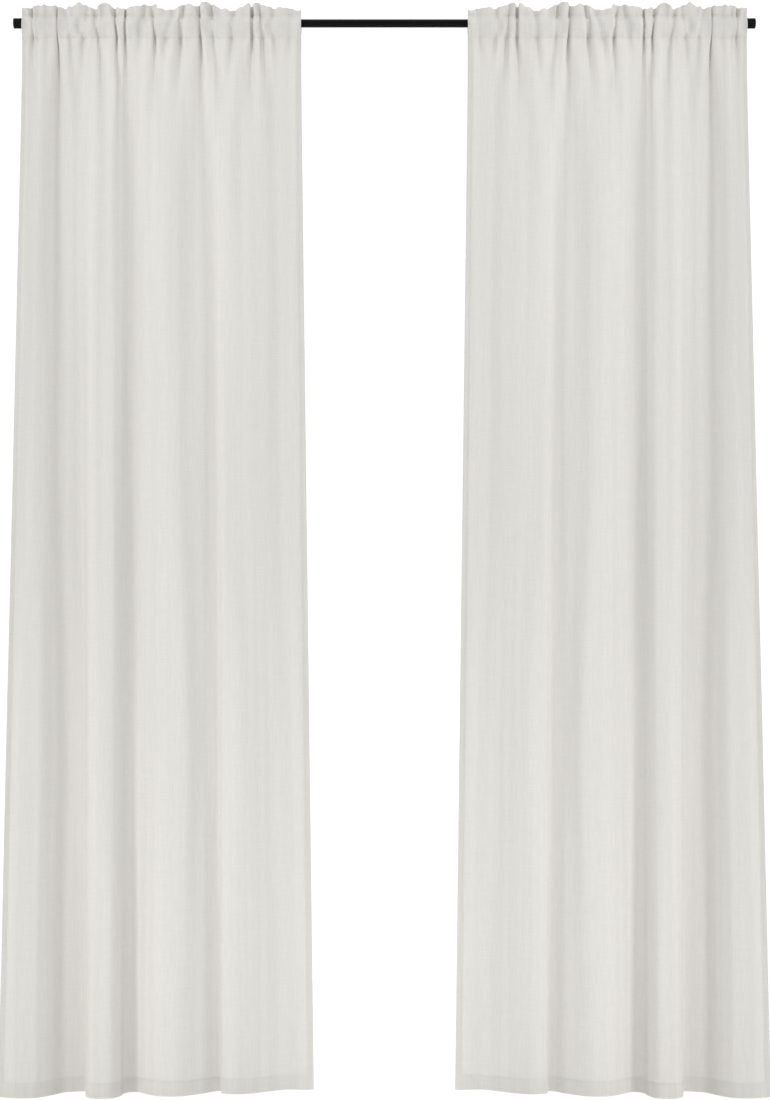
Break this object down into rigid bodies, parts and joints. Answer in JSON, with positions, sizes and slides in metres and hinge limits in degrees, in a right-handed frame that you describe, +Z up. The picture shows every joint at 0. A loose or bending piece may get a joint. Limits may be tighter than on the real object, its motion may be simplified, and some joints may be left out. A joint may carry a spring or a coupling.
{
  "type": "window curtains on a rod",
  "caption": "Gathered rod-pocket curtain panels on a black spring tension rod, off-white linen-look cloth, floor length, hanging open in the middle.",
  "frame": {"origin": "centre of the left end cap's flat face, on the rod's axis", "axes": "+X along the rod from the left cap to the right cap, -Y to the room side, +Z up"},
  "size_m": [1.5054, 0.07, 2.134],
  "materials": {
    "linen_weave": "semi-sheer off-white slub weave, matt",
    "sewing_thread": "off-white spun polyester thread",
    "rod_paint": "black satin powder coat on steel tube",
    "cap_rubber": "matt black moulded rubber",
    "nylon": "black moulded nylon",
    "zinc_steel": "zinc-plated steel"
  },
  "bodies": {
    "outer_rod": {"outer_tube": "rod_paint", "left_end_cap": "cap_rubber", "mouth_sleeve": "nylon"},
    "lock": {"lock_collar": "nylon"},
    "lock_shaft_body": {"lock_shaft": "zinc_steel", "lock_cone": "nylon", "thrust_washer": "zinc_steel"},
    "inner_rod": {"inner_tube": "rod_paint", "right_end_cap": "cap_rubber", "guide_bush": "nylon", "spring": "zinc_steel", "spring_stop": "nylon"},
    "left_panel": {"left_header": "linen_weave", "left_rod_pocket": "linen_weave", "left_drop": "linen_weave", "left_bottom_hem": "linen_weave", "left_outer_side_hem": "linen_weave", "left_header_seam": "sewing_thread", "left_pocket_seam": "sewing_thread", "left_bottom_hem_seam": "sewing_thread", "left_outer_side_seam": "sewing_thread"},
    "left_leading_edge": {"left_leading_side_hem": "linen_weave", "left_leading_side_seam": "sewing_thread"},
    "right_panel": {"right_header": "linen_weave", "right_rod_pocket": "linen_weave", "right_drop": "linen_weave", "right_bottom_hem": "linen_weave", "right_outer_side_hem": "linen_weave", "right_header_seam": "sewing_thread", "right_pocket_seam": "sewing_thread", "right_bottom_hem_seam": "sewing_thread", "right_outer_side_seam": "sewing_thread"},
    "right_leading_edge": {"right_leading_side_hem": "linen_weave", "right_leading_side_seam": "sewing_thread"}
  },
  "joints": [
    {"name": "length_setting", "type": "slide", "parent": "outer_rod", "child": "lock", "axis": [1, 0, 0], "range_m": [0, 0.25]},
    {"name": "lock_twist", "type": "hinge", "parent": "lock", "child": "lock_shaft_body", "pos_m": [0.55, 0, 0], "axis": [1, 0, 0], "range_deg": [0, 90]},
    {"name": "spring_travel", "type": "slide", "parent": "lock_shaft_body", "child": "inner_rod", "axis": [1, 0, 0], "range_m": [-0.02, 0], "stiffness_N_per_m": 1200, "deforming": ["spring"]},
    {"name": "left_swing", "type": "hinge", "parent": "outer_rod", "child": "left_panel", "pos_m": [0.29, 0, 0], "axis": [-1, 0, 0], "range_deg": [-5, 20]},
    {"name": "left_draw", "type": "slide", "parent": "left_panel", "child": "left_leading_edge", "axis": [1, 0, 0], "range_m": [0, 0.125]},
    {"name": "right_swing", "type": "hinge", "parent": "outer_rod", "child": "right_panel", "pos_m": [1.166, 0, 0], "axis": [-1, 0, 0], "range_deg": [-5, 20]},
    {"name": "right_draw", "type": "slide", "parent": "right_panel", "child": "right_leading_edge", "axis": [-1, 0, 0], "range_m": [0, 0.125]}
  ]
}
